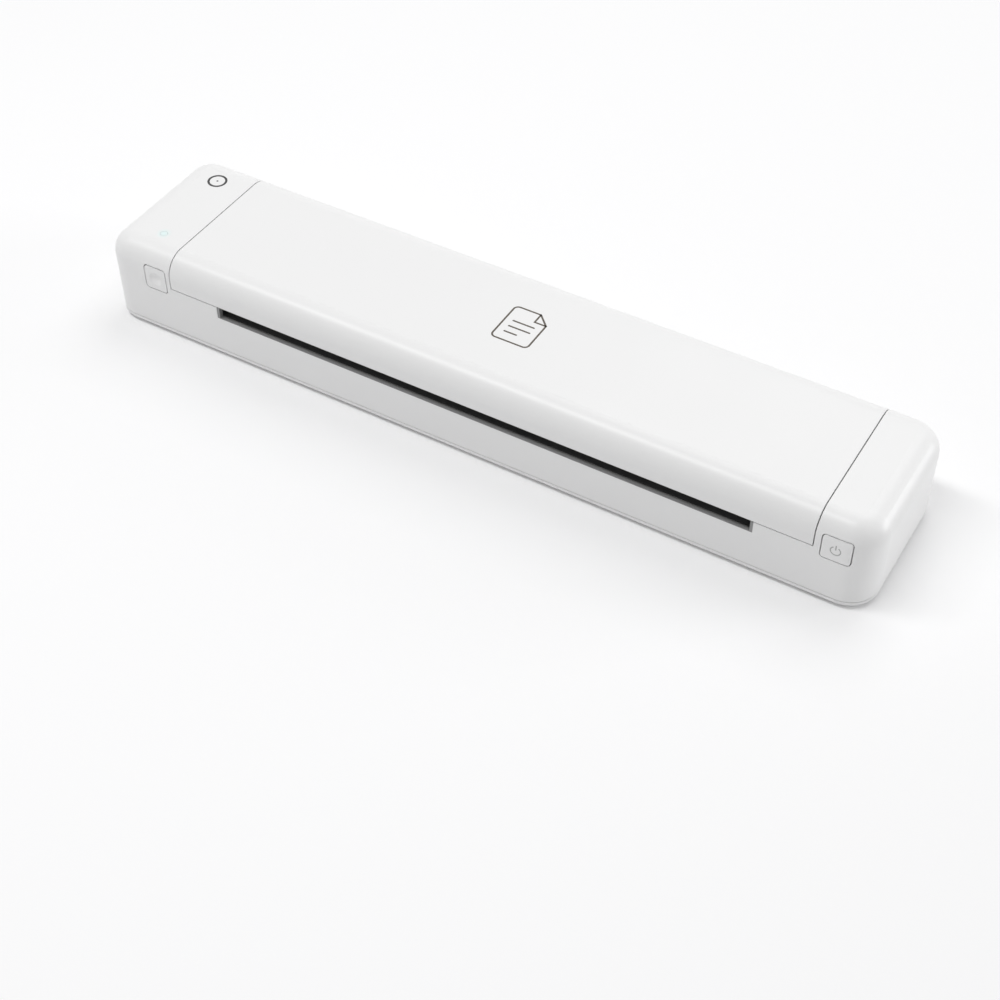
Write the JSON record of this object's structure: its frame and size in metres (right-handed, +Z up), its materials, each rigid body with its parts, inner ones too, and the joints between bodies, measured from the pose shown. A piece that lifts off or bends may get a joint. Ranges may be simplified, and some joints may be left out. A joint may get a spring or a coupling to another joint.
{
  "type": "portable thermal printer",
  "caption": "Slim white A4 portable thermal printer with a rear-hinged top cover over a platen and thermal head, front exit slot and push buttons.",
  "frame": {"origin": "middle of the footprint, on the surface the feet stand on", "axes": "+X along the printer from its left to its right end as seen from the front, -Y towards the front where the sheet comes out, +Z up"},
  "size_m": [0.312, 0.064, 0.037],
  "materials": {
    "white_shell": "satin moulded ABS",
    "dark_plastic": "fine matt",
    "rubber": "matt",
    "zinc_screw": "zinc plated",
    "ground_steel": "ground",
    "sheet_steel": "galvanised sheet",
    "spring_steel": "drawn wire",
    "bush_bronze": "turned",
    "gear_nylon": "moulded nylon",
    "motor_can": "plated can",
    "black_part": "moulded",
    "board_green": "solder mask",
    "chip_black": "moulded",
    "led_yellow": "clear cap",
    "light_pipe": "milky",
    "aluminium": "extruded",
    "ceramic": "glazed ceramic",
    "socket_steel": "plated",
    "battery_wrap": "shrink film",
    "foam": "foam tape",
    "wire_sleeve": "vinyl",
    "ribbon_film": "flat film"
  },
  "bodies": {
    "base": {"main_housing": "white_shell", "bottom_cover": "white_shell", "rubber_feet": "rubber", "case_screws": "zinc_screw", "hinge_pins": "ground_steel", "chassis_frame": "sheet_steel", "lower_sheet_guide": "dark_plastic", "guide_screws": "zinc_screw", "paper_sensor": "dark_plastic", "platen_bushes": "bush_bronze", "idler_stud": "ground_steel", "drive_motor": "motor_can", "motor_screws": "zinc_screw", "release_spring": "spring_steel", "power_switch": "black_part", "switch_board": "board_green", "led_board": "board_green", "status_led": "led_yellow", "light_pipe": "light_pipe", "battery_pack": "battery_wrap", "battery_pads": "foam", "main_board": "board_green", "main_board_parts": "chip_black", "board_screws": "zinc_screw", "usb_board": "board_green", "usb_socket": "socket_steel", "motor_cable": "wire_sleeve", "led_cable": "wire_sleeve", "switch_cable": "wire_sleeve", "usb_cable": "wire_sleeve", "battery_leads": "wire_sleeve"},
    "cover": {"top_cover": "white_shell", "cover_liner": "dark_plastic", "liner_screws": "zinc_screw", "latch_keepers": "sheet_steel", "shoulder_screws": "zinc_screw", "head_springs": "spring_steel", "head_ribbon": "ribbon_film"},
    "print_head": {"heat_sink": "aluminium", "thermal_head": "ceramic", "driver_cover": "black_part", "head_board": "board_green", "head_connector": "black_part"},
    "platen": {"platen_shaft": "ground_steel", "platen_roller": "rubber", "platen_gear": "gear_nylon"},
    "idler": {"idler_gear": "gear_nylon"},
    "motor_rotor": {"motor_shaft": "ground_steel", "motor_pinion": "bush_bronze"},
    "latch": {"latch_shaft": "ground_steel", "latch_hooks": "sheet_steel", "latch_lever": "sheet_steel"},
    "release": {"release_button": "white_shell"},
    "power": {"power_button": "white_shell", "switch_plunger": "black_part"}
  },
  "joints": [
    {"name": "cover_hinge", "type": "hinge", "parent": "base", "child": "cover", "pos_m": [0, 0.0295, 0.0265], "axis": [-1, 0, 0], "range_deg": [0, 95], "deforming": ["head_ribbon"]},
    {"name": "head_float", "type": "slide", "parent": "cover", "child": "print_head", "axis": [0, 0, 1], "range_m": [0, 0.0008], "stiffness_N_per_m": 3000, "springref_m": -0.003, "deforming": ["head_springs"]},
    {"name": "platen_spin", "type": "hinge", "parent": "base", "child": "platen", "pos_m": [0, -0.012, 0.0153], "axis": [1, 0, 0], "continuous": true},
    {"name": "idler_spin", "type": "hinge", "parent": "base", "child": "idler", "pos_m": [-0.12, -0.00109, 0.0139], "axis": [1, 0, 0], "continuous": true},
    {"name": "motor_spin", "type": "hinge", "parent": "base", "child": "motor_rotor", "pos_m": [-0.13, 0.0119, 0.0145], "axis": [1, 0, 0], "continuous": true},
    {"name": "release_push", "type": "slide", "parent": "base", "child": "release", "axis": [0, 1, 0], "range_m": [0, 0.0024], "stiffness_N_per_m": 400, "springref_m": -0.002, "deforming": ["release_spring"]},
    {"name": "latch_turn", "type": "hinge", "parent": "base", "child": "latch", "pos_m": [0, -0.0253, 0.0115], "axis": [-1, 0, 0], "range_deg": [0, 9.9]},
    {"name": "power_push", "type": "slide", "parent": "base", "child": "power", "axis": [0, 1, 0], "range_m": [0, 0.0005], "stiffness_N_per_m": 2500, "springref_m": -0.0003}
  ],
  "couplings": [
    {"joint": "idler_spin", "follows": "platen_spin", "ratio": -1.75},
    {"joint": "motor_spin", "follows": "platen_spin", "ratio": 3.9375},
    {"joint": "latch_turn", "follows": "release_push", "rad_per_m": 71.429}
  ]
}
